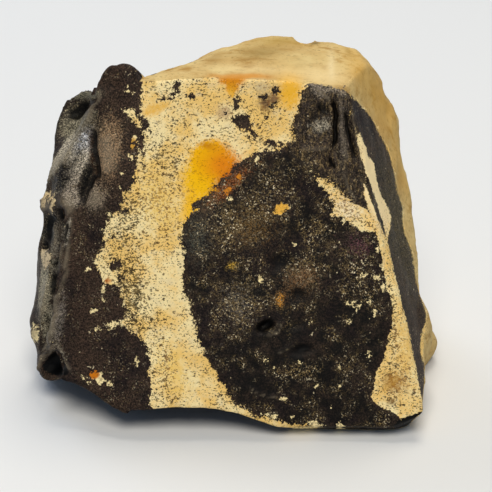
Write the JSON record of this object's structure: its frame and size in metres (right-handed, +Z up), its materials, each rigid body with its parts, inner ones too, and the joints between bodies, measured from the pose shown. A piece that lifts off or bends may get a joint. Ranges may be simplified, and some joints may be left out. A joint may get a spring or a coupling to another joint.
{
  "type": "landscape jasper",
  "caption": "Hand-sized broken block of banded jasper with flat breaks, hollow scars and a raised corner; it rests on a small flat spot under it.",
  "frame": {"origin": "under the middle of the stone's box, at the level that it rests on", "axes": "+Z up, +X to the right along the longest side, the patterned front break faces -Y and up"},
  "size_m": [0.0756, 0.0584, 0.0611],
  "materials": {
    "jasper": "natural break, matt to satin, with a chalky rind at the top and back"
  },
  "bodies": {
    "root": {"stone": "jasper"}
  },
  "joints": []
}
